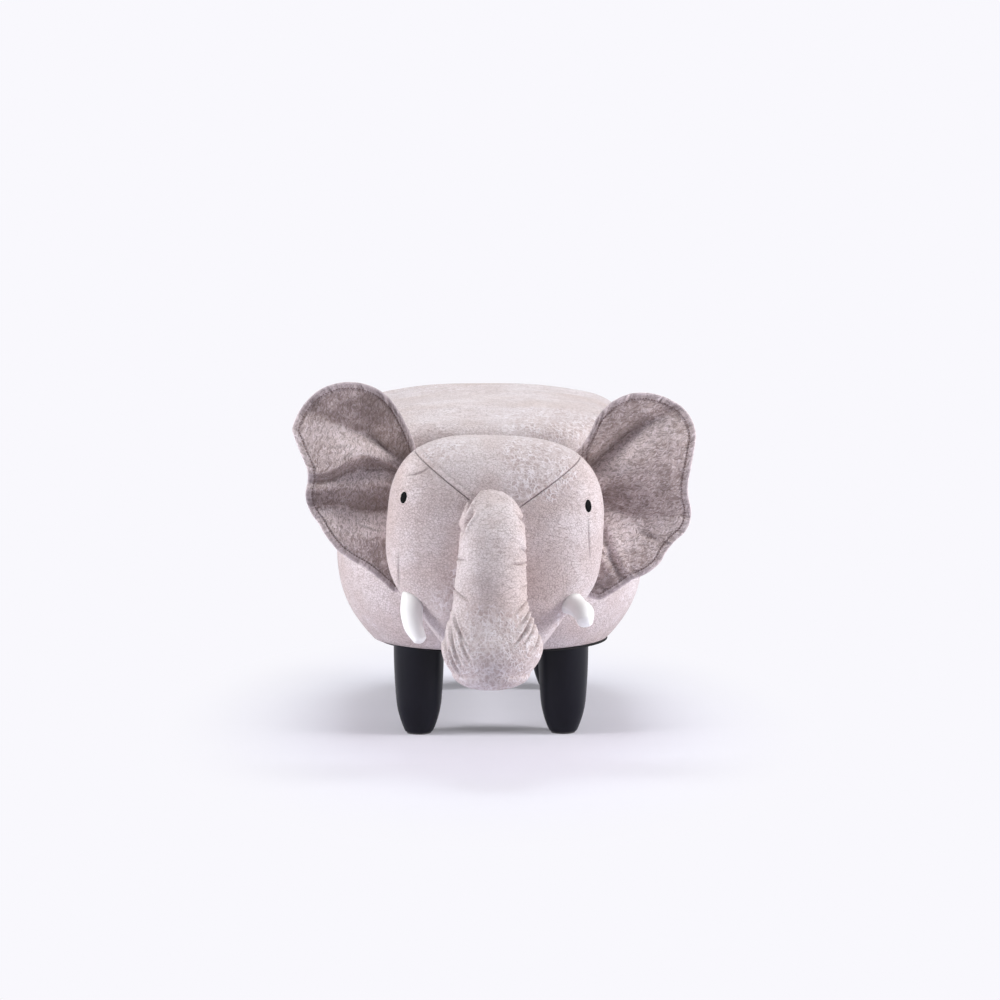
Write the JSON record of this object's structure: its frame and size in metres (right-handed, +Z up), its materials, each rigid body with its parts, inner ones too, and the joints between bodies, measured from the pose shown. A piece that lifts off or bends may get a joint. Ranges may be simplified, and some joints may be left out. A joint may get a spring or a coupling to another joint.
{
  "type": "elephant storage ottoman",
  "caption": "Upholstered storage stool shaped like an elephant, with a hinged padded lid, turned legs, stuffed head, trunk, tusks and folded ears.",
  "frame": {"origin": "on the floor, below the middle of the whole object's box", "axes": "+Z up, the elephant looks towards -Y, +X to the right of someone who faces it"},
  "size_m": [0.4325, 0.7004, 0.4023],
  "materials": {
    "leather_cloth": "distressed greyish-lilac leather cloth, soft sheen, fine crackle",
    "ear_suede": "brushed taupe leather cloth, matt",
    "tusk_cloth": "white smooth cloth",
    "eye_thread": "black satin-stitch embroidery",
    "plywood": "raw birch plywood",
    "padding": "polyurethane foam and fibre filling",
    "lining_cloth": "black non-woven cloth",
    "leg_lacquer": "satin black lacquer on turned wood",
    "glide_felt": "dark felt",
    "zinc_steel": "zinc-plated"
  },
  "bodies": {
    "box": {"base_board": "plywood", "dust_cover": "lining_cloth", "wall_left": "plywood", "wall_right": "plywood", "wall_front": "plywood", "wall_rear": "plywood", "rim_frame": "plywood", "foam_front": "padding", "foam_rear": "padding", "foam_left": "padding", "foam_right": "padding", "body_cover": "leather_cloth", "storage_lining": "lining_cloth", "box_screws": "zinc_steel", "leg_front_left": "leg_lacquer", "leg_front_right": "leg_lacquer", "leg_rear_left": "leg_lacquer", "leg_rear_right": "leg_lacquer", "leg_hanger_bolts": "zinc_steel", "leg_t_nuts": "zinc_steel", "leg_glides": "glide_felt", "neck_collar": "leather_cloth", "head_board": "plywood", "head_bolts": "zinc_steel", "head_t_nuts": "zinc_steel", "head_cover": "leather_cloth", "head_filling": "padding", "trunk_cover": "leather_cloth", "trunk_filling": "padding", "ear_left": "ear_suede", "ear_right": "ear_suede", "tusk_left": "tusk_cloth", "tusk_right": "tusk_cloth", "eye_left": "eye_thread", "eye_right": "eye_thread", "tail": "leather_cloth", "hinge_front_leaf_fixed": "zinc_steel", "hinge_rear_leaf_fixed": "zinc_steel", "hinge_front_pin": "zinc_steel", "hinge_rear_pin": "zinc_steel", "hinge_screws_fixed": "zinc_steel"},
    "lid": {"lid_board": "plywood", "lid_foam": "padding", "lid_cover": "leather_cloth", "lid_lining": "lining_cloth", "hinge_front_leaf_lid": "zinc_steel", "hinge_rear_leaf_lid": "zinc_steel", "hinge_screws_lid": "zinc_steel"}
  },
  "joints": [
    {"name": "lid_hinge", "type": "hinge", "parent": "box", "child": "lid", "pos_m": [-0.166, 0.0911, 0.25175], "axis": [0, -1, 0], "range_deg": [0, 100]}
  ]
}
